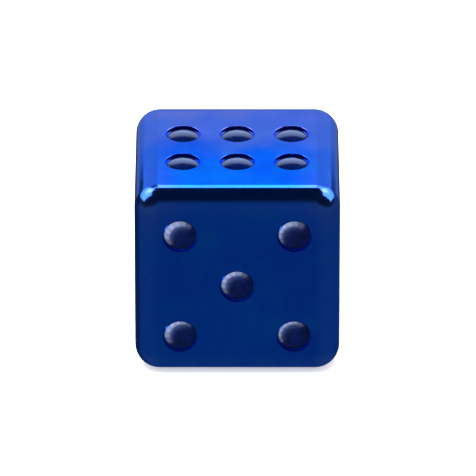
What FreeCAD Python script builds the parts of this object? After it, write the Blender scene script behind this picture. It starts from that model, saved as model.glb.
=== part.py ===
import FreeCAD, Part
import math
import os

from FreeCAD import Rotation, Vector

# A casino die: one solid aluminium cube with rounded edges, and 21 domed pip inserts pressed into
# blind holes in its six faces. Millimetres, +Z up. The origin is the middle of the bottom face.

# ---- driving dimensions -------------------------------------------------------------------------
EDGE = 19.05  # edge length of the cube, three quarters of an inch
EDGE_RADIUS = 0.12 * EDGE  # rounding of all twelve edges, with ball corners

HEAD_DIAMETER = 0.156 * EDGE  # domed head of a pip insert
RING_GAP = 0.12  # radial gap between the head and the wall of its counterbore
CROWN_DEPTH = 0.02  # the crown of the dome lies this far below the face, so a face rests flat
RIM_DEPTH = 0.25  # the dome would meet the side of the head here, without the rounding
RIM_ROUNDING = 0.05  # radius between the dome and the side of the head
COUNTERBORE_DEPTH = 0.36  # flat seat under the head
MOUTH_CHAMFER = 0.07  # broken edge around the counterbore
SHANK_DIAMETER = 1.8  # pressed into the blind hole, size for size
SHANK_LENGTH = 1.5
SHANK_CHAMFER = 0.2
HOLE_SPARE = 0.1  # straight hole left below the end of the shank
DRILL_POINT_ANGLE = 118.0  # degrees, included angle of the hole's conical end

CORNER_PITCH = 0.2775 * EDGE  # from a face's centre to its corner pips, along each side
SIX_COLUMN_PITCH = 0.265 * EDGE  # between the columns of the six
SIX_ROW_HALF_PITCH = 0.145 * EDGE  # from the centre to each row of the six

# ---- where the pips are -------------------------------------------------------------------------
# Opposite faces add up to seven, and the one, two and three run counterclockwise around their shared
# corner. Each face is its number, its outward direction and the directions of its "right" and "up" as
# it is looked at from outside.
X, Y, Z = Vector(1, 0, 0), Vector(0, 1, 0), Vector(0, 0, 1)
FACES = [
    ("one", -Z, X, -Y),
    ("two", Y, -X, Z),
    ("three", X, Y, Z),
    ("four", -X, -Y, Z),
    ("five", -Y, X, Z),
    ("six", Z, X, Y),
]

CENTRE = {"centre": (0.0, 0.0)}
RISING_PAIR = {
    "lower_left": (-CORNER_PITCH, -CORNER_PITCH),
    "upper_right": (CORNER_PITCH, CORNER_PITCH),
}
FALLING_PAIR = {
    "upper_left": (-CORNER_PITCH, CORNER_PITCH),
    "lower_right": (CORNER_PITCH, -CORNER_PITCH),
}
SIX_PIPS = {
    f"{row}_{column}": (side * SIX_COLUMN_PITCH, end * SIX_ROW_HALF_PITCH)
    for row, end in (("front", -1), ("back", 1))
    for column, side in (("left", -1), ("middle", 0), ("right", 1))
}
LAYOUT = {
    "one": CENTRE,
    "two": RISING_PAIR,
    "three": RISING_PAIR | CENTRE,
    "four": RISING_PAIR | FALLING_PAIR,
    "five": RISING_PAIR | FALLING_PAIR | CENTRE,
    "six": SIX_PIPS,
}

# ---- worked out from the driving dimensions -----------------------------------------------------
HEAD_RADIUS = HEAD_DIAMETER / 2
MOUTH_RADIUS = HEAD_RADIUS + RING_GAP
SHANK_RADIUS = SHANK_DIAMETER / 2
SHANK_END = COUNTERBORE_DEPTH + SHANK_LENGTH
HOLE_END = SHANK_END + HOLE_SPARE
DRILL_POINT = SHANK_RADIUS / math.tan(math.radians(DRILL_POINT_ANGLE / 2))
CUTTER_LIFT = 0.5  # the cutting tool reaches this far out of the face
TOUCH = 1e-4  # two heights this close are the same


def turned(edges):
    """The solid that a closed outline in the XZ plane sweeps in one turn about Z."""
    outline = Part.Wire(edges)
    return Part.Face(outline).revolve(Vector(0, 0, 0), Z, 360)


def lines(points):
    """Straight edges through (radius, height) points in turn."""
    corners = [Vector(radius, 0, height) for radius, height in points]
    return [Part.makeLine(start, end) for start, end in zip(corners, corners[1:])]


def lies_level(edge, height):
    """Whether an edge lies wholly at one height."""
    box = edge.BoundBox
    return abs(box.ZMin - height) < TOUCH and abs(box.ZMax - height) < TOUCH


def pip_insert():
    """A domed head on a short shank. The face of the die is the plane Z = 0, and +Z points outward."""
    dome_height = RIM_DEPTH - CROWN_DEPTH
    dome_radius = (HEAD_RADIUS**2 + dome_height**2) / (2 * dome_height)
    half_angle = math.asin(HEAD_RADIUS / dome_radius) / 2
    crown = Vector(0, 0, -CROWN_DEPTH)
    shoulder = Vector(
        dome_radius * math.sin(half_angle),
        0,
        -CROWN_DEPTH - dome_radius * (1 - math.cos(half_angle)),
    )
    rim = Vector(HEAD_RADIUS, 0, -RIM_DEPTH)
    dome = Part.Arc(crown, shoulder, rim).toShape()
    below_dome = lines(
        [
            (HEAD_RADIUS, -RIM_DEPTH),
            (HEAD_RADIUS, -COUNTERBORE_DEPTH),
            (SHANK_RADIUS, -COUNTERBORE_DEPTH),
            (SHANK_RADIUS, -SHANK_END + SHANK_CHAMFER),
            (SHANK_RADIUS - SHANK_CHAMFER, -SHANK_END),
            (0, -SHANK_END),
            (0, -CROWN_DEPTH),
        ]
    )
    sharp = turned([dome] + below_dome)
    rim_edges = [edge for edge in sharp.Edges if lies_level(edge, -RIM_DEPTH)]
    return sharp.makeFillet(RIM_ROUNDING, rim_edges)


def pip_recess():
    """The space that is cut from the body for one insert: mouth chamfer, counterbore and drilled hole."""
    return turned(
        lines(
            [
                (0, CUTTER_LIFT),
                (MOUTH_RADIUS + MOUTH_CHAMFER, CUTTER_LIFT),
                (MOUTH_RADIUS + MOUTH_CHAMFER, 0),
                (MOUTH_RADIUS, -MOUTH_CHAMFER),
                (MOUTH_RADIUS, -COUNTERBORE_DEPTH),
                (SHANK_RADIUS, -COUNTERBORE_DEPTH),
                (SHANK_RADIUS, -HOLE_END),
                (0, -HOLE_END - DRILL_POINT),
                (0, CUTTER_LIFT),
            ]
        )
    )


def placed(shape, outward, right, up, across, along):
    """A copy of a shape modelled at the origin, moved to one pip's place on a face of the die."""
    centre = Z * (EDGE / 2)
    spot = centre + outward * (EDGE / 2) + right * across + up * along
    copy = shape.copy()
    copy.Placement = FreeCAD.Placement(spot, Rotation(right, up, outward, "ZXY"))
    return copy


def rounded_cube():
    """The blank of the body: a cube with every edge rounded."""
    cube = Part.makeBox(EDGE, EDGE, EDGE, Vector(-EDGE / 2, -EDGE / 2, 0))
    return cube.makeFillet(EDGE_RADIUS, cube.Edges)


def write(name, shape):
    """One closed solid to its own STEP file."""
    solid = shape.Solids[0]
    if len(shape.Solids) != 1 or not solid.isValid():
        raise ValueError(f"{name} is not one valid solid")
    solid.exportStep(f"parts/{name}.step")
    print(f"{name}: {solid.Volume:.3f} mm3")


os.makedirs("parts", exist_ok=True)

insert = pip_insert()
recess = pip_recess()
recesses = []
for number, outward, right, up in FACES:
    for place, (across, along) in LAYOUT[number].items():
        write(f"pip_{number}_{place}", placed(insert, outward, right, up, across, along))
        recesses.append(placed(recess, outward, right, up, across, along))

write("die_body", rounded_cube().cut(recesses))
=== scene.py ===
import math

import bmesh
import bpy
from mathutils import Matrix, Vector


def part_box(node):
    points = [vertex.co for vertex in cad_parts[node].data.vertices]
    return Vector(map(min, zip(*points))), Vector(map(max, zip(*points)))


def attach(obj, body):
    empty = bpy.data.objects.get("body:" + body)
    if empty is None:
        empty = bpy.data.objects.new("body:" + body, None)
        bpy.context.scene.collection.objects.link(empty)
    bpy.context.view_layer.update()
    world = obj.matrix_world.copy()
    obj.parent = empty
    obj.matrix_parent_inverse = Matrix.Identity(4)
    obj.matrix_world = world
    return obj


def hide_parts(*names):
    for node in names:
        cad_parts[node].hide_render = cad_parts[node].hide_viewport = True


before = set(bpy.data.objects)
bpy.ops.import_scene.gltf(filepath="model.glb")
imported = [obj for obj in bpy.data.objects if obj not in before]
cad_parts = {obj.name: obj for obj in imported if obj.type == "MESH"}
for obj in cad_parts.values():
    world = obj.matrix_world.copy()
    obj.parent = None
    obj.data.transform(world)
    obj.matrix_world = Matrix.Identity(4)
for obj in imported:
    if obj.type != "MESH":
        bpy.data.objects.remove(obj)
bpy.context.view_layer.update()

# A casino die of polished blue anodised metal with 21 domed navy pip inserts. Everything is in metres,
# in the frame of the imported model: +Z up, the origin in the middle of the bottom face.

MM = 0.001

# ---- sizes --------------------------------------------------------------------------------------
body_low, body_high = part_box("die_body")
EDGE = body_high.x - body_low.x
HALF = EDGE / 2
CENTRE = (body_low + body_high) / 2
EDGE_RADIUS = 0.12 * EDGE
LAND = HALF - EDGE_RADIUS  # half the width of the flat part of a face

pip_low, pip_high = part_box("pip_one_centre")
HEAD_RADIUS = (pip_high.x - pip_low.x) / 2
CROWN_DEPTH = pip_low.z - body_low.z
SHANK_END = pip_high.z - body_low.z
RIM_DEPTH = 0.25 * MM
RIM_ROUNDING = 0.05 * MM
SEAT_DEPTH = 0.36 * MM
MOUTH_RADIUS = HEAD_RADIUS + 0.12 * MM
MOUTH_ROUNDING = 0.07 * MM
SEAT_ROUNDING = 0.05 * MM
SHANK_RADIUS = 0.9 * MM
SHANK_CHAMFER = 0.2 * MM
HOLE_END = SHANK_END + 0.1 * MM
DRILL_POINT = SHANK_RADIUS / math.tan(math.radians(59))

# ---- how finely the meshes are divided ----------------------------------------------------------
CELL = 16  # steps along one side of the cell round a pip, so its circle has four times as many
AROUND = 4 * CELL
SIDE_STEPS = 60  # steps along the flat part of each side of a face
TURN_STEPS = 12  # steps round the quarter turn of an edge
CELL_RINGS = 3  # rings between a cell's square outline and the mouth of its recess
ROUNDING_STEPS = 4  # steps round each small rounding
CELL_HALF = 1.95 * MM  # from a pip's centre to the side of its cell
CELL_SNAP = 0.35 * MM  # a cell whose side comes this near to the rounded edge reaches it
MERGE = 1e-7

# ---- the metal's film, and the sheen painted on its top -----------------------------------------
THIN_START = LAND - 0.2 * MM  # how far from the middle of the die the edges' thinner film starts
THIN_END = LAND + EDGE_RADIUS * 0.45  # and where it is fully thin
HUE_LEAN = 2.5  # how strongly the hue leans from teal on the left to violet on the right, per metre
PAINTED_SHEEN_START = EDGE * 0.7  # the height at which the painted sheen on the top starts

# ---- the studio ---------------------------------------------------------------------------------
# A pair of numbers whose name doesn't say otherwise is a ramp: something is off at the first number,
# and fully on at the second.
FLOOR_RADIUS = 1.5
FLOOR_DROP = 0.01 * MM  # a hair below the die, so that the two surfaces don't coincide
FLOOR_GLOW = 0.45
OVERHEAD_PLACE = Vector((-0.05, -0.05, 0.45))
OVERHEAD_SIZE, OVERHEAD_POWER = 0.35, 4.0

# The room in reflections, by the direction that a reflection comes from.
ROOM_LEVEL, DARK_LEVEL = 0.17, 0.03
DARK_ABOVE = (0.62, 0.92)
DARK_ABOVE_ASIDE = 0.68  # how much a direction to either side counts as a direction upwards
DARK_BACK, DARK_LEFT = (0.12, 0.4), (-0.15, -0.4)
DARK_RISING, DARK_BELOW = (-0.2, 0.0), 0.6  # the corner's darkness is this much of full below eye level

# The curved panel. Its azimuths are in degrees from straight behind and its heights in millimetres.
PANEL_RADIUS = 90 * MM
PANEL_REACH = 97
PANEL_BOTTOM, PANEL_TOP, PANEL_STEP = -12, 180, 3
PANEL_LEAST = 0.05  # a part that is no brighter than this is left out
PANEL_WARMING = (1.5, 6.0)  # the brightnesses over which it turns from white to its warm colour
PANEL_WARM = (1, 0.56, 0.5, 1)
# Its wall, its strip with a link at each side, and its corner lights with their hot cores. RISE and
# FALL are ramps over the height, and ASIDE, INNER and OUTER over the azimuth.
WALL_LEVEL, WALL_END = 0.5, 75
WALL_GAINS = ((0.28, (-12, 40)), (0.26, (65, 72)))
STRIP_LEVEL, STRIP_GAIN, STRIP_RISE, STRIP_FALL = 1.05, 6.9, (75, 90), (160, 145)
STRIP_ASIDE = (11, 7)
LINK_LEVEL, LINK_LEFT_RISE = 0.3, (108, 130)
CORNER_START = 35
CORNER_LEVEL, CORNER_GAIN, CORNER_RISE, CORNER_FALL = 0.8, 1.6, (26, 50), (178, 150)
CORNER_FOOT, CORNER_FOOT_RAISED, CORNER_FOOT_ASIDE = 26, 20, (50, 90)
HOT_GAIN, HOT_INNER, HOT_OUTER, HOT_RISE = 5.4, (36, 42), (74, 62), (62, 88)

# The pips' lamps. The crescents' turns and slopes are in degrees: see mirrored.
PIP_BACK_PLACE, PIP_BACK_SIZE = Vector((0, 84 * MM, 33 * MM)), (200 * MM, 92 * MM)
PIP_BACK_RADIANCE, PIP_BACK_COLOUR = 4.6, (0.5, 0.66, 1.0)
PIP_TOP_PLACE, PIP_TOP_SIZE, PIP_TOP_RADIANCE = Vector((0, 0, 0.3)), (0.2, 0.2), 66.0
CRESCENT_START, CRESCENT_END, CRESCENT_LAMPS = 50, 212, 6
CRESCENT_DISTANCE = 150 * MM
CRESCENT_OVERLAP = 1.05  # a lamp's length, as a multiple of its share of the arc
CRESCENT_ROWS = (  # slopes, radiance and colour
    ((9, 13.5), 6.0, (0.3, 0.5, 1.0)),
    ((13.5, 24), 36.0, (1.0, 0.97, 1.0)),
)

CAMERA_DISTANCE = 0.70
CAMERA_ELEVATION = math.radians(28.6)
VIEW = Vector((0, -math.cos(CAMERA_ELEVATION), math.sin(CAMERA_ELEVATION)))  # towards the camera
CAMERA_AIM = Vector((0.066 * MM, 0, -0.05 * MM))
FRAME_WIDTH = 44.6 * MM
SENSOR_WIDTH = 36.0

# ---- the six faces ------------------------------------------------------------------------------
# Each face has its outward direction and the directions of its right and up, seen from outside.
X, Y, Z = Vector((1, 0, 0)), Vector((0, 1, 0)), Vector((0, 0, 1))
FACES = {
    "one": (-Z, X, -Y),
    "two": (Y, -X, Z),
    "three": (X, Y, Z),
    "four": (-X, -Y, Z),
    "five": (-Y, X, Z),
    "six": (Z, X, Y),
}


def face_of(node):
    """The face that a pip belongs to, by its node's name."""
    return node.split("_")[1]


def pip_place(node):
    """Where a pip's centre is on its face: how far right and how far up of the face's middle."""
    low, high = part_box(node)
    offset = (low + high) / 2 - CENTRE
    outward, right, up = FACES[face_of(node)]
    return offset.dot(right), offset.dot(up)


PIPS = {node: pip_place(node) for node in sorted(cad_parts) if node.startswith("pip_")}


# ---- meshes -------------------------------------------------------------------------------------
def mesh_of(built, name, material):
    """The mesh of a finished bmesh, in one material."""
    mesh = bpy.data.meshes.new(name)
    built.to_mesh(mesh)
    built.free()
    mesh.materials.append(material)
    return mesh


def placed(name, data):
    """An object in the scene that shows a mesh, a light or a camera."""
    made = bpy.data.objects.new(name, data)
    bpy.context.scene.collection.objects.link(made)
    return made


class Surface:
    """A mesh under construction, whose points carry the exact normal of the surface they lie on."""

    def __init__(self):
        self.mesh = bmesh.new()
        self.normal = self.mesh.verts.layers.float_vector.new("surface_normal")

    def point(self, place, normal):
        vertex = self.mesh.verts.new(place)
        vertex[self.normal] = normal
        return vertex

    def facet(self, corners):
        """One face, wound so that it faces the way its points' normals do."""
        along = corners[1].co - corners[0].co
        across = corners[-1].co - corners[0].co
        outward = sum((corner[self.normal] for corner in corners), Vector((0, 0, 0)))
        if along.cross(across).dot(outward) < 0:
            corners = corners[::-1]
        self.mesh.faces.new(corners)

    def sheet(self, rows, closed=False):
        """Facets between rows of points. A closed sheet's rows are rings."""
        for near, far in zip(rows, rows[1:]):
            for i in range(len(near) if closed else len(near) - 1):
                j = (i + 1) % len(near)
                self.facet([near[i], near[j], far[j], far[i]])

    def made(self, name, material):
        """The finished object, smooth, with its exact normals."""
        bmesh.ops.remove_doubles(self.mesh, verts=self.mesh.verts, dist=MERGE)
        normals = [vertex[self.normal].normalized() for vertex in self.mesh.verts]
        for facet in self.mesh.faces:
            facet.smooth = True
        self.mesh.verts.layers.float_vector.remove(self.normal)
        mesh = mesh_of(self.mesh, name, material)
        mesh.normals_split_custom_set_from_vertices(normals)
        return placed(name, mesh)


class PipAxis:
    """The axis of one pip, and points placed round it. A point's lean is how much of its normal points
    outward along the axis, and how much points away from the axis."""

    def __init__(self, surface, node):
        self.surface = surface
        self.outward, right, up = FACES[face_of(node)]
        across, along = PIPS[node]
        self.right, self.up = right, up
        self.spot = CENTRE + self.outward * HALF + right * across + up * along

    def point(self, angle, radius, depth, lean):
        away = self.right * math.cos(angle) + self.up * math.sin(angle)
        place = self.spot + away * radius - self.outward * depth
        return self.surface.point(place, self.outward * lean[0] + away * lean[1])

    def ring(self, radius, depth, lean):
        turns = [2 * math.pi * i / AROUND for i in range(AROUND)]
        return [self.point(angle, radius, depth, lean) for angle in turns]

    def disc(self, edge_radius, shape):
        """A disc of four-sided facets out to edge_radius. shape gives (depth, lean) at a radius."""
        rows = []
        for i in range(CELL + 1):
            a = 2 * i / CELL - 1
            row = []
            for j in range(CELL + 1):
                b = 2 * j / CELL - 1
                if a == b == 0:
                    radius, angle = 0.0, 0.0
                elif abs(a) >= abs(b):
                    radius, angle = a, math.pi / 4 * b / a
                else:
                    radius, angle = b, math.pi / 2 - math.pi / 4 * a / b
                if radius < 0:
                    radius, angle = -radius, angle + math.pi
                depth, lean = shape(radius * edge_radius)
                row.append(self.point(angle, radius * edge_radius, depth, lean))
            rows.append(row)
        self.surface.sheet(rows)


def arc_steps(start, end, steps):
    """Angles from start to end, both included."""
    return [start + (end - start) * i / steps for i in range(steps + 1)]


def recess(axis, outline):
    """The recess in the body for one insert, joined to its cell's square outline on the face."""
    mouth_edge = axis.ring(MOUTH_RADIUS + MOUTH_ROUNDING, 0, (1, 0))
    rows = [outline]
    for step in range(1, CELL_RINGS):
        share = step / CELL_RINGS
        rows.append(
            [
                axis.surface.point(outer.co.lerp(inner.co, share), axis.outward)
                for outer, inner in zip(outline, mouth_edge)
            ]
        )
    for angle in arc_steps(0, math.pi / 2, ROUNDING_STEPS):
        radius = MOUTH_RADIUS + MOUTH_ROUNDING * (1 - math.sin(angle))
        depth = MOUTH_ROUNDING * (1 - math.cos(angle))
        rows.append(axis.ring(radius, depth, (math.cos(angle), -math.sin(angle))))
    for angle in arc_steps(0, math.pi / 2, ROUNDING_STEPS):
        radius = MOUTH_RADIUS - SEAT_ROUNDING * (1 - math.cos(angle))
        depth = SEAT_DEPTH - SEAT_ROUNDING * (1 - math.sin(angle))
        rows.append(axis.ring(radius, depth, (math.sin(angle), -math.cos(angle))))
    rows.append(axis.ring(SHANK_RADIUS, SEAT_DEPTH, (1, 0)))
    rows.append(axis.ring(SHANK_RADIUS, HOLE_END, (0, -1)))
    axis.surface.sheet(rows, closed=True)
    axis.disc(
        SHANK_RADIUS,
        lambda radius: (HOLE_END + DRILL_POINT * (1 - radius / SHANK_RADIUS), (1, -1)),
    )


def stops_along(places):
    """Where a face's grid lines are along one direction, from -LAND to LAND, and the line at which each
    pip's cell starts. A cell has CELL even steps, and the gaps share the rest by their length."""
    marks = [-LAND]
    for place in sorted({round(place, 7) for place in places}):
        low, high = place - CELL_HALF, place + CELL_HALF
        if low + LAND < CELL_SNAP:
            low = -LAND
        if LAND - high < CELL_SNAP:
            high = LAND
        marks += [low, high]
    marks.append(LAND)
    gaps = [high - low for low, high in zip(marks[::2], marks[1::2])]
    spare = SIDE_STEPS - CELL * (len(gaps) - 1)
    stops, starts, gap_run = [], [], 0.0
    for i, (low, high) in enumerate(zip(marks, marks[1:])):
        if i % 2:
            steps = CELL
            starts.append(len(stops))
        else:
            before = round(spare * gap_run / sum(gaps))
            gap_run += high - low
            steps = round(spare * gap_run / sum(gaps)) - before
        stops += [low + (high - low) * step / steps for step in range(steps)]
    return stops + [LAND], starts


def face_stops(face):
    """The grid lines of a face to its right and up, and where the cells start on each."""
    places = [place for node, place in PIPS.items() if face_of(node) == face]
    return [stops_along([place[direction] for place in places]) for direction in (0, 1)]


def cell_start(stops, starts, place):
    """The grid line at which the cell round a place starts."""
    return next(start for start in starts if stops[start] < place < stops[start + CELL])


def cell_outline(grid, i, j):
    """The square of grid points round a cell that starts at (i, j), from the middle of its right side
    and counterclockwise."""
    half = CELL // 2
    right = [(i + CELL, j + step) for step in range(CELL)]
    top = [(i + CELL - step, j + CELL) for step in range(CELL)]
    left = [(i, j + CELL - step) for step in range(CELL)]
    bottom = [(i + step, j) for step in range(CELL)]
    loop = right + top + left + bottom
    loop = loop[half:] + loop[:half]
    return [grid[place] for place in loop]


def flat_face(surface, face):
    """The flat of one face, with a recess in each pip's cell."""
    outward, right, up = FACES[face]
    (across, across_starts), (along, along_starts) = face_stops(face)
    taken = {}
    for node, place in PIPS.items():
        if face_of(node) == face:
            taken[node] = (
                cell_start(across, across_starts, place[0]),
                cell_start(along, along_starts, place[1]),
            )
    inside = {
        (i + a, j + b) for i, j in taken.values() for a in range(1, CELL) for b in range(1, CELL)
    }
    covered = {(i + a, j + b) for i, j in taken.values() for a in range(CELL) for b in range(CELL)}
    grid = {}
    for i, u in enumerate(across):
        for j, v in enumerate(along):
            if (i, j) not in inside:
                place = CENTRE + outward * HALF + right * u + up * v
                grid[i, j] = surface.point(place, outward)
    for i in range(SIDE_STEPS):
        for j in range(SIDE_STEPS):
            if (i, j) not in covered:
                surface.facet([grid[i, j], grid[i + 1, j], grid[i + 1, j + 1], grid[i, j + 1]])
    for node, (i, j) in taken.items():
        recess(PipAxis(surface, node), cell_outline(grid, i, j))


def stops_on(face, axis):
    """A face's grid lines along one of the three axes."""
    outward, right, up = FACES[face]
    direction = 0 if abs(right.dot(axis)) > 0.5 else 1
    sign = (right, up)[direction].dot(axis)
    stops = face_stops(face)[direction][0]
    return stops if sign > 0 else [-stop for stop in reversed(stops)]


def rounded_edge(surface, first, second):
    """The quarter-round edge between two faces, from the first to the second."""
    start, end = FACES[first][0], FACES[second][0]
    axis = Vector([1 - abs(a) - abs(b) for a, b in zip(start, end)])
    near, far = stops_on(first, axis), stops_on(second, axis)
    rows = []
    for i, angle in enumerate(arc_steps(0, math.pi / 2, TURN_STEPS)):
        normal = start * math.cos(angle) + end * math.sin(angle)
        middle = CENTRE + (start + end) * LAND + normal * EDGE_RADIUS
        share = i / TURN_STEPS
        stops = [a + (b - a) * share for a, b in zip(near, far)]
        rows.append([surface.point(middle + axis * stop, normal) for stop in stops])
    surface.sheet(rows)


def ball_corner(surface, directions):
    """The eighth of a ball at one corner, in three four-sided patches that meet at its middle."""
    middle = CENTRE + sum(directions, Vector((0, 0, 0))) * LAND
    half_steps = TURN_STEPS // 2
    for turn in range(3):
        pole, one_side, other_side = directions[turn:] + directions[:turn]
        rows = []
        for a in arc_steps(0, math.pi / 4, half_steps):
            row = []
            for b in arc_steps(0, math.pi / 4, half_steps):
                normal = (pole + one_side * math.tan(a) + other_side * math.tan(b)).normalized()
                row.append(surface.point(middle + normal * EDGE_RADIUS, normal))
            rows.append(row)
        surface.sheet(rows)


def body_mesh(material):
    """The body: six flats with their recesses, twelve rounded edges and eight ball corners."""
    surface = Surface()
    names = list(FACES)
    for face in names:
        flat_face(surface, face)
    for i, first in enumerate(names):
        for second in names[i + 1 :]:
            if abs(FACES[first][0].dot(FACES[second][0])) < 0.5:
                rounded_edge(surface, first, second)
    for x in (-1, 1):
        for y in (-1, 1):
            for z in (-1, 1):
                ball_corner(surface, [X * x, Y * y, Z * z])
    return surface.made("anodised_body", material)


def insert_mesh(node, material):
    """One pip insert: a domed head with a rounded rim, its flat seat and its chamfered shank."""
    surface = Surface()
    axis = PipAxis(surface, node)
    rise = RIM_DEPTH - CROWN_DEPTH
    ball = (HEAD_RADIUS**2 + rise**2) / (2 * rise)
    ball_depth = CROWN_DEPTH + ball
    rim_circle = HEAD_RADIUS - RIM_ROUNDING
    tilt = math.asin(rim_circle / (ball - RIM_ROUNDING))
    rim_depth = ball_depth - (ball - RIM_ROUNDING) * math.cos(tilt)

    def dome(radius):
        slope = math.asin(radius / ball)
        return ball_depth - ball * math.cos(slope), (math.cos(slope), math.sin(slope))

    axis.disc(ball * math.sin(tilt), dome)
    rows = []
    for angle in arc_steps(tilt, math.pi / 2, ROUNDING_STEPS):
        radius = rim_circle + RIM_ROUNDING * math.sin(angle)
        depth = rim_depth - RIM_ROUNDING * math.cos(angle)
        rows.append(axis.ring(radius, depth, (math.cos(angle), math.sin(angle))))
    end_radius = SHANK_RADIUS - SHANK_CHAMFER
    rows.append(axis.ring(HEAD_RADIUS, SEAT_DEPTH, (0, 1)))
    rows.append(axis.ring(SHANK_RADIUS, SEAT_DEPTH, (-1, 0)))
    rows.append(axis.ring(SHANK_RADIUS, SHANK_END - SHANK_CHAMFER, (0, 1)))
    rows.append(axis.ring(end_radius, SHANK_END, (-1, 0)))
    surface.sheet(rows, closed=True)
    axis.disc(end_radius, lambda radius: (SHANK_END, (-1, 0)))
    return surface.made(node.replace("pip_", "inlay_"), material)


# ---- materials ----------------------------------------------------------------------------------
class Nodes:
    """A node tree, with short calls for the nodes that patterns are made of."""

    def __init__(self, tree):
        self.tree = tree

    def node(self, kind, **settings):
        node = self.tree.nodes.new(kind)
        for name, value in settings.items():
            setattr(node, name, value)
        return node

    def wire(self, source, target):
        self.tree.links.new(source, target)

    def fill(self, target, value):
        """A socket gets a link, or a constant of its own."""
        if isinstance(value, bpy.types.NodeSocket):
            self.wire(value, target)
        else:
            target.default_value = value

    def maths(self, operation, first, second=0.0, third=0.0):
        node = self.node("ShaderNodeMath", operation=operation)
        for socket, value in zip(node.inputs, (first, second, third)):
            self.fill(socket, value)
        return node.outputs["Value"]

    def spread(self, value, low, high, to_low=0.0, to_high=1.0):
        """A value from low to high, smoothly mapped to to_low to to_high."""
        node = self.node("ShaderNodeMapRange", interpolation_type="SMOOTHSTEP")
        for name, given in (
            ("Value", value),
            ("From Min", low),
            ("From Max", high),
            ("To Min", to_low),
            ("To Max", to_high),
        ):
            self.fill(node.inputs[name], given)
        return node.outputs["Result"]


class Material(Nodes):
    """A node material whose patterns lie on the object's own coordinates."""

    def __init__(self, name):
        self.material = bpy.data.materials.new(name)
        self.material.use_nodes = True
        super().__init__(self.material.node_tree)
        self.shader = self.tree.nodes["Principled BSDF"]
        self.place = self.node("ShaderNodeTexCoord").outputs["Object"]

    def noise(self, size, detail=3.0, stretch=(1, 1, 1), shift=(0, 0, 0)):
        """Noise whose features are about size metres across, stretched along an axis if asked."""
        mapping = self.node("ShaderNodeMapping")
        self.wire(self.place, mapping.inputs["Vector"])
        mapping.inputs["Scale"].default_value = [1 / part for part in stretch]
        mapping.inputs["Location"].default_value = shift
        noise = self.node("ShaderNodeTexNoise")
        self.wire(mapping.outputs["Vector"], noise.inputs["Vector"])
        noise.inputs["Scale"].default_value = 1 / size
        noise.inputs["Detail"].default_value = detail
        return noise.outputs["Fac"]

    def blend(self, share, first, second):
        """Two colours mixed by a share."""
        mix = self.node("ShaderNodeMix", data_type="RGBA")
        self.fill(mix.inputs["Factor"], share)
        colours = [socket for socket in mix.inputs if socket.type == "RGBA"]
        for socket, colour in zip(colours, (first, second)):
            self.fill(socket, colour)
        return next(socket for socket in mix.outputs if socket.type == "RGBA")

    def bump(self, height, distance, strength, under=None):
        """The normal of a surface that rises by up to distance, laid over another bump if given."""
        node = self.node("ShaderNodeBump")
        node.inputs["Strength"].default_value = strength
        node.inputs["Distance"].default_value = distance
        self.wire(height, node.inputs["Height"])
        if under is not None:
            self.wire(under, node.inputs["Normal"])
        return node.outputs["Normal"]


def edge_and_corner_nearness(made):
    """How far a point is onto the rounded edges, and onto the ball corners. 0 is on a flat and 1 well
    round the turn."""
    parts = made.node("ShaderNodeSeparateXYZ")
    made.wire(made.place, parts.inputs["Vector"])
    level = made.maths("SUBTRACT", parts.outputs["Z"], CENTRE.z)
    offsets = (parts.outputs["X"], parts.outputs["Y"], level)
    x, y, z = (made.maths("ABSOLUTE", offset) for offset in offsets)
    larger = made.maths("MAXIMUM", x, y)
    smaller = made.maths("MINIMUM", x, y)
    second = made.maths("MAXIMUM", smaller, made.maths("MINIMUM", larger, z))
    third = made.maths("MINIMUM", smaller, z)
    return made.spread(second, THIN_START, THIN_END), made.spread(third, THIN_START, THIN_END)


def film_colour(made):
    """The colour of metal under a transparent blue anodic film. The film's thickness drifts, which
    moves its colour between violet and teal. Over the back and the sides of the top a paler, lavender
    colour is painted in as a sheen, standing in for a reflection there. The film is thin along the
    edges."""
    royal, violet = (0.003, 0.125, 0.94, 1), (0.004, 0.110, 0.93, 1)
    teal, sheen_colour = (0.002, 0.175, 0.88, 1), (0.13, 0.205, 0.80, 1)
    thin, thinnest = (0.018, 0.15, 0.96, 1), (0.055, 0.21, 0.96, 1)
    parts = made.node("ShaderNodeSeparateXYZ")
    made.wire(made.place, parts.inputs["Vector"])
    lean = made.maths("MULTIPLY", parts.outputs["X"], HUE_LEAN)
    drift = made.noise(11 * MM, detail=2.0, shift=(0.031, 0.017, 0.046))
    patches = made.noise(4.5 * MM, detail=3.0, shift=(0.011, 0.052, 0.023))
    colour = made.blend(made.spread(made.maths("ADD", drift, lean), 0.42, 0.60), royal, violet)
    greener = made.spread(made.maths("SUBTRACT", patches, lean), 0.45, 0.70, 0.0, 0.7)
    colour = made.blend(greener, colour, teal)

    # Painted sheen: the top's back and sides are made paler and more lavender, standing in for a
    # reflection.
    top = made.spread(parts.outputs["Z"], PAINTED_SHEEN_START, EDGE)
    ragged = made.maths("MULTIPLY", made.maths("SUBTRACT", patches, 0.5), 8 * MM)
    backward = made.maths("ADD", parts.outputs["Y"], ragged)
    half_way = made.spread(backward, -3 * MM, 3.5 * MM, 0.0, 0.6)
    back = made.maths("ADD", half_way, made.spread(backward, 5 * MM, 8 * MM, 0.0, 0.4))
    aside = made.spread(made.maths("ABSOLUTE", parts.outputs["X"]), 4.5 * MM, 9 * MM, 0.0, 0.25)
    painted_sheen = made.maths("MULTIPLY", made.maths("MAXIMUM", back, aside), top)
    worn = made.spread(made.noise(1.1 * MM), 0.35, 0.65, 0.6, 1.0)
    at_edge, at_corner = edge_and_corner_nearness(made)
    colour = made.blend(made.maths("MULTIPLY", at_edge, worn), colour, thin)
    colour = made.blend(painted_sheen, colour, sheen_colour)
    return made.blend(made.maths("MULTIPLY", at_corner, worn), colour, thinnest)


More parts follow.
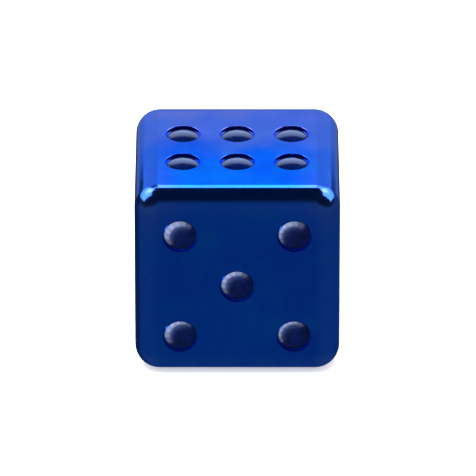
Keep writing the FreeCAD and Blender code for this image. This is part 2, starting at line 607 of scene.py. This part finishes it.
def high_polish(made):
    """A high polish's roughness and normal, with faint wiping marks and hairlines."""
    wiping = made.noise(2.2 * MM, detail=4.0, stretch=(2.5, 1, 1), shift=(0.02, 0.07, 0.01))
    grain = made.noise(0.12 * MM, detail=2.0)
    wiped = made.spread(wiping, 0.35, 0.7, 0.10, 0.16)
    grained = made.maths("MULTIPLY", made.maths("SUBTRACT", grain, 0.5), 0.04)
    made.wire(made.maths("ADD", wiped, grained), made.shader.inputs["Roughness"])

    hairs_one = made.noise(0.05 * MM, detail=1.0, stretch=(30, 1, 1))
    hairs_two = made.noise(0.05 * MM, detail=1.0, stretch=(1, 26, 1), shift=(0.004, 0.002, 0.009))
    ripple = made.noise(1.6 * MM, detail=2.0, shift=(0.05, 0.01, 0.03))
    normal = made.bump(ripple, 0.004 * MM, 0.3)
    normal = made.bump(hairs_one, 0.0015 * MM, 0.2, under=normal)
    normal = made.bump(hairs_two, 0.0015 * MM, 0.2, under=normal)
    made.wire(normal, made.shader.inputs["Normal"])


def anodised_metal():
    """Polished metal under a blue anodic film, which is also a faint clear coat."""
    made = Material("blue_anodised_metal")
    made.wire(film_colour(made), made.shader.inputs["Base Color"])
    high_polish(made)
    made.shader.inputs["Metallic"].default_value = 1.0
    made.shader.inputs["Specular Tint"].default_value = (0.45, 0.6, 1.0, 1)
    made.shader.inputs["Coat Weight"].default_value = 0.03
    made.shader.inputs["Coat Roughness"].default_value = 0.05
    made.shader.inputs["Coat IOR"].default_value = 1.5
    return made.material


def pip_enamel():
    """Dark navy moulded plastic with a slightly rippled surface and a bluish lustre."""
    made = Material("navy_pip_insert")
    darker, lighter = (0.0001, 0.0006, 0.006, 1), (0.0001, 0.0010, 0.0105, 1)
    swirl = made.noise(0.9 * MM, detail=3.0, shift=(0.013, 0.029, 0.007))
    colour = made.blend(made.spread(swirl, 0.35, 0.65), darker, lighter)
    made.wire(colour, made.shader.inputs["Base Color"])
    haze = made.noise(0.35 * MM, detail=3.0)
    made.wire(made.spread(haze, 0.3, 0.7, 0.13, 0.18), made.shader.inputs["Roughness"])
    ripple = made.noise(0.5 * MM, detail=2.0)
    made.wire(made.bump(ripple, 0.004 * MM, 0.3), made.shader.inputs["Normal"])
    made.shader.inputs["Specular IOR Level"].default_value = 0.2
    made.shader.inputs["Specular Tint"].default_value = (0.5, 0.62, 1.0, 1)
    return made.material


# ---- floor, lights and camera -------------------------------------------------------------------
def pale_floor():
    """A broad pale floor. Reflections leave it out, and see the dim lower half of the room there."""
    made = Material("pale_floor")
    darker, lighter = (0.90, 0.90, 0.905, 1), (0.93, 0.93, 0.93, 1)
    mottle = made.noise(40 * MM, detail=3.0)
    colour = made.blend(made.spread(mottle, 0.3, 0.7), darker, lighter)
    made.wire(colour, made.shader.inputs["Base Color"])
    made.shader.inputs["Roughness"].default_value = 0.9
    made.shader.inputs["Specular IOR Level"].default_value = 0.0
    made.shader.inputs["Emission Color"].default_value = (1, 1, 1, 1)
    made.shader.inputs["Emission Strength"].default_value = FLOOR_GLOW
    made.material.cycles.emission_sampling = "NONE"
    plane = bmesh.new()
    bmesh.ops.create_circle(plane, cap_ends=True, segments=96, radius=FLOOR_RADIUS)
    floor = placed("floor", mesh_of(plane, "floor", made.material))
    floor.location.z = -FLOOR_DROP
    floor.visible_glossy = False
    floor.visible_shadow = False


def studio_world():
    """White to the camera and to matt surfaces. Reflections see a dim room, which is darker overhead,
    high up at the sides and in its rear left corner, there most of all from eye level up."""
    world = bpy.data.worlds.new("studio")
    world.use_nodes = True
    bpy.context.scene.world = world
    room = Nodes(world.node_tree)
    parts = room.node("ShaderNodeSeparateXYZ")
    room.wire(room.node("ShaderNodeTexCoord").outputs["Generated"], parts.inputs["Vector"])
    x, y, z = (parts.outputs[axis] for axis in "XYZ")
    upward = room.maths("MULTIPLY_ADD", room.maths("ABSOLUTE", x), DARK_ABOVE_ASIDE, z)
    above = room.spread(upward, *DARK_ABOVE)
    corner = room.maths("MULTIPLY", room.spread(y, *DARK_BACK), room.spread(x, *DARK_LEFT))
    corner = room.maths("MULTIPLY", corner, room.spread(z, *DARK_RISING, DARK_BELOW, 1.0))
    dark = room.maths("MAXIMUM", above, corner)
    level = room.spread(dark, 0.0, 1.0, ROOM_LEVEL, DARK_LEVEL)
    level.node.interpolation_type = "LINEAR"
    glossy = room.node("ShaderNodeLightPath").outputs["Is Glossy Ray"]
    strength = room.maths("MULTIPLY_ADD", glossy, room.maths("SUBTRACT", level, 1.0), 1.0)
    background = world.node_tree.nodes["Background"]
    background.inputs["Color"].default_value = (1, 1, 1, 1)
    room.wire(strength, background.inputs["Strength"])
    world.cycles.sampling_method = "NONE"


def smooth(value, off, on):
    """0 up to off and 1 from on, with a smooth change between them. off may be above on."""
    share = min(max((value - off) / (on - off), 0.0), 1.0)
    return share * share * (3 - 2 * share)


def panel_brightness(azimuth, height):
    """How bright the curved panel is at an azimuth and a height. Behind the die is an even wall, with
    one narrow and much brighter strip above it. To each side stands a bright corner light, hottest in
    the middle of its inner half. A dimmer stretch of the strip links it with the corner lights, on the
    left only high up."""
    aside = abs(azimuth)
    if aside >= CORNER_START:
        if height <= CORNER_FOOT + CORNER_FOOT_RAISED * smooth(aside, *CORNER_FOOT_ASIDE):
            return 0.0
        hot = smooth(aside, *HOT_INNER) * smooth(aside, *HOT_OUTER) * smooth(height, *HOT_RISE)
        level = CORNER_LEVEL + CORNER_GAIN * smooth(height, *CORNER_RISE) + HOT_GAIN * hot
        return level * smooth(height, *CORNER_FALL)
    if height < WALL_END:
        return WALL_LEVEL + sum(gain * smooth(height, *rise) for gain, rise in WALL_GAINS)
    link = LINK_LEVEL * (1 if azimuth > 0 else smooth(height, *LINK_LEFT_RISE))
    level = (STRIP_LEVEL + STRIP_GAIN * smooth(height, *STRIP_RISE)) * smooth(height, *STRIP_FALL)
    return level * max(smooth(aside, *STRIP_ASIDE), link)


def curved_panel(receivers):
    """A curved panel of soft light behind and beside the die, seen only in the body's reflections. Its
    brightness is stored on its points, and its unlit parts are left out."""
    panel = bmesh.new()
    glow = panel.verts.layers.float.new("glow")
    grid = {}
    azimuths = range(-PANEL_REACH, PANEL_REACH + 1)
    heights = range(PANEL_BOTTOM, PANEL_TOP, PANEL_STEP)
    for azimuth in azimuths:
        for height in heights:
            angle = math.radians(azimuth)
            place = (PANEL_RADIUS * math.sin(angle), PANEL_RADIUS * math.cos(angle), height * MM)
            vertex = grid[azimuth, height] = panel.verts.new(place)
            vertex[glow] = panel_brightness(azimuth, height)
    for azimuth, height in grid:
        onward, upward = azimuth + 1, height + PANEL_STEP
        loop = [(azimuth, height), (onward, height), (onward, upward), (azimuth, upward)]
        corners = [grid.get(place) for place in loop]
        if all(corner and corner[glow] > PANEL_LEAST for corner in corners):
            panel.faces.new(corners)
    lit = Material("curved_panel")
    emission = lit.node("ShaderNodeEmission")
    stored = lit.node("ShaderNodeAttribute", attribute_name="glow")
    warmth = lit.spread(stored.outputs["Fac"], *PANEL_WARMING)
    lit.wire(lit.blend(warmth, (1, 1, 1, 1), PANEL_WARM), emission.inputs["Color"])
    lit.wire(stored.outputs["Fac"], emission.inputs["Strength"])
    lit.wire(emission.outputs[0], lit.tree.nodes["Material Output"].inputs["Surface"])
    made = placed("curved_panel", mesh_of(panel, "curved_panel", lit.material))
    made.visible_camera = False
    made.visible_diffuse = False
    made.visible_shadow = False
    made.light_linking.receiver_collection = receivers


def overhead_lamp():
    """A broad soft lamp above the die, which gives it a faint shadow and isn't reflected."""
    light = bpy.data.lights.new("overhead", "AREA")
    light.size = OVERHEAD_SIZE
    light.energy = OVERHEAD_POWER
    made = placed("overhead", light)
    made.location = OVERHEAD_PLACE
    made.visible_camera = False
    made.visible_glossy = False


def pip_lamp(name, place, facing, across, size, radiance, receivers):
    """A rectangular lamp of a given radiance, which lights only its receivers. Its size is its length
    along across, and its width the other way."""
    light = bpy.data.lights.new(name, "AREA")
    light.shape = "RECTANGLE"
    light.size, light.size_y = size
    light.energy = radiance * math.pi * size[0] * size[1]
    made = placed(name, light)
    behind = -facing.normalized()
    across = (across - behind * across.dot(behind)).normalized()
    made.location = place
    made.rotation_mode = "QUATERNION"
    turned = Matrix((across, behind.cross(across), behind)).transposed()
    made.rotation_quaternion = turned.to_quaternion()
    made.visible_camera = False
    made.light_linking.receiver_collection = receivers
    return made


def mirrored(face, turn, tilt):
    """The direction that a dome on a face mirrors to the camera at a point whose slope is tilt, on the
    side given by turn, counterclockwise from the face's right. Both are in degrees."""
    outward, right, up = FACES[face]
    turn, tilt = math.radians(turn), math.radians(tilt)
    aside = right * math.cos(turn) + up * math.sin(turn)
    normal = outward * math.cos(tilt) + aside * math.sin(tilt)
    return 2 * VIEW.dot(normal) * normal - VIEW


def crescent_lamps(receivers):
    """Small lamps in an arc, which the front pips mirror as one crescent round their upper left. It is
    brightest in the middle of its length and towards the rim, and bluer on its inner side."""
    middle = CENTRE - Y * HALF
    step = (CRESCENT_END - CRESCENT_START) / CRESCENT_LAMPS
    for i in range(CRESCENT_LAMPS):
        turn = CRESCENT_START + step * i
        fade = math.sin(math.pi * (i + 0.5) / CRESCENT_LAMPS)
        for tilts, radiance, colour in CRESCENT_ROWS:
            corners = [
                middle + mirrored("five", at, tilt) * CRESCENT_DISTANCE
                for at in (turn, turn + step)
                for tilt in tilts
            ]
            place = sum(corners, Vector((0, 0, 0))) / 4
            along = (corners[2] + corners[3] - corners[0] - corners[1]) / 2
            out = (corners[1] + corners[3] - corners[0] - corners[2]) / 2
            facing = middle - place
            size = (along.length * CRESCENT_OVERLAP, out.length)
            lamp = pip_lamp("crescent", place, facing, along, size, radiance * fade, receivers)
            lamp.data.color = colour


def camera():
    """A long lens, so that the die's far edges are hardly smaller than its near ones."""
    data = bpy.data.cameras.new("camera")
    data.sensor_width = SENSOR_WIDTH
    data.lens = data.sensor_width * CAMERA_DISTANCE / FRAME_WIDTH
    data.clip_start, data.clip_end = CAMERA_DISTANCE * 0.1, CAMERA_DISTANCE * 10
    made = placed("camera", data)
    made.location = CENTRE + CAMERA_AIM + VIEW * CAMERA_DISTANCE
    made.rotation_mode = "QUATERNION"
    made.rotation_quaternion = (-VIEW).to_track_quat("-Z", "Y")
    bpy.context.scene.camera = made


# ---- the die and its scene ----------------------------------------------------------------------
metal = anodised_metal()
enamel = pip_enamel()

body = body_mesh(metal)
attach(body, "root")
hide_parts("die_body")

bodies = bpy.data.collections.new("bodies")
bodies.objects.link(body)
inlays = bpy.data.collections.new("inlays")
for node in PIPS:
    inlay = insert_mesh(node, enamel)
    inlays.objects.link(inlay)
    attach(inlay, "root")
    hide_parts(node)

pale_floor()
studio_world()
overhead_lamp()
curved_panel(bodies)
back = pip_lamp("pip_back", PIP_BACK_PLACE, -Y, X, PIP_BACK_SIZE, PIP_BACK_RADIANCE, inlays)
back.data.color = PIP_BACK_COLOUR
top = pip_lamp("pip_top", PIP_TOP_PLACE, -Z, X, PIP_TOP_SIZE, PIP_TOP_RADIANCE, inlays)
top.visible_glossy = False
crescent_lamps(inlays)

camera()
bpy.context.scene.view_settings.view_transform = "Standard"
